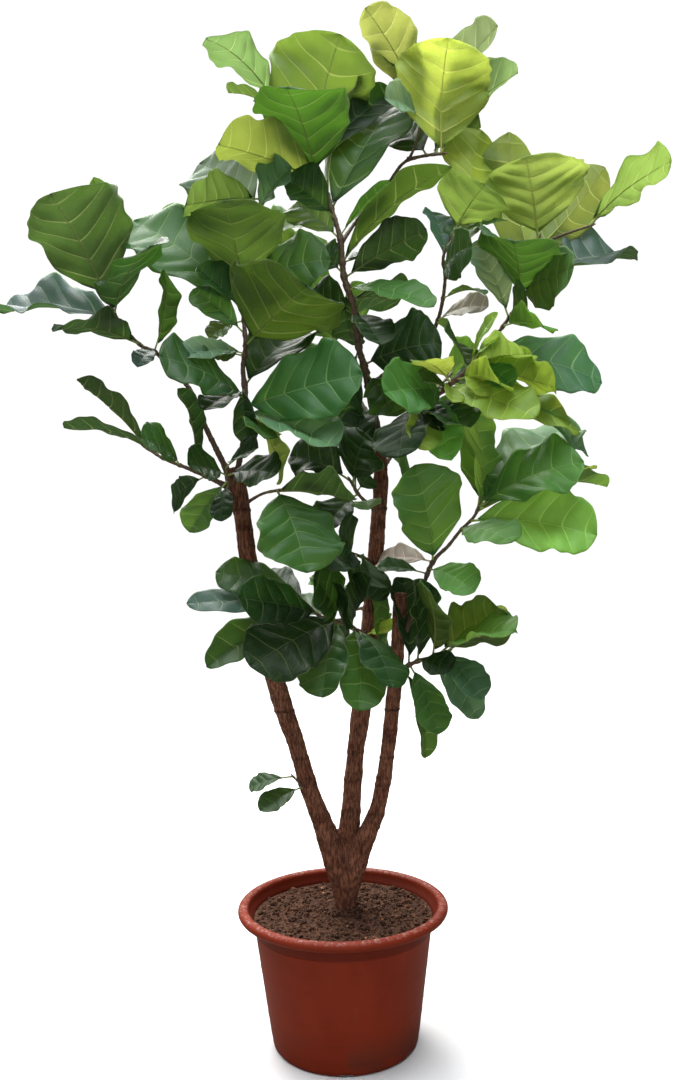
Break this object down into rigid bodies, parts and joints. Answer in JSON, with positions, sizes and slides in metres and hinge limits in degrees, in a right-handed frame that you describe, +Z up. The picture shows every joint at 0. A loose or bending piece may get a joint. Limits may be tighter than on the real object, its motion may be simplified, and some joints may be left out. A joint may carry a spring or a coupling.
{
  "type": "potted fiddle leaf fig",
  "caption": "Tall fiddle leaf fig with a forked woody trunk and large glossy wavy leaves, growing in a round plastic nursery pot of soil.",
  "frame": {"origin": "centre of the pot's flat base", "axes": "+Z up along the pot's axis, -Y towards the front as pictured"},
  "size_m": [1.4714, 0.7797, 2.2397],
  "materials": {
    "pot": "satin, scuffed, with dusty water marks",
    "soil": "crumbly potting mix with bark chips",
    "bark": "rough, cracked and speckled with pale pores",
    "leaf": "glossy, leathery, with pale raised veins"
  },
  "bodies": {
    "root": {"pot": "pot", "soil": "soil", "trunk": "bark", "bough_left_high": "leaf", "bough_left_mid": "leaf", "bough_left_low": "leaf", "shoot_left_limb": "leaf", "twig_left_inner": "leaf", "leader": "leaf", "bough_top_right": "leaf", "bough_right_mid": "leaf", "bough_right_high": "leaf", "bough_right_low": "leaf", "bough_low_right": "leaf", "bough_low_front": "leaf", "twig_centre_front": "leaf", "twig_centre_low": "leaf", "sprout_low_left": "leaf", "bough_back_left": "leaf", "bough_back_right": "leaf", "bough_back_low": "leaf"}
  },
  "joints": []
}
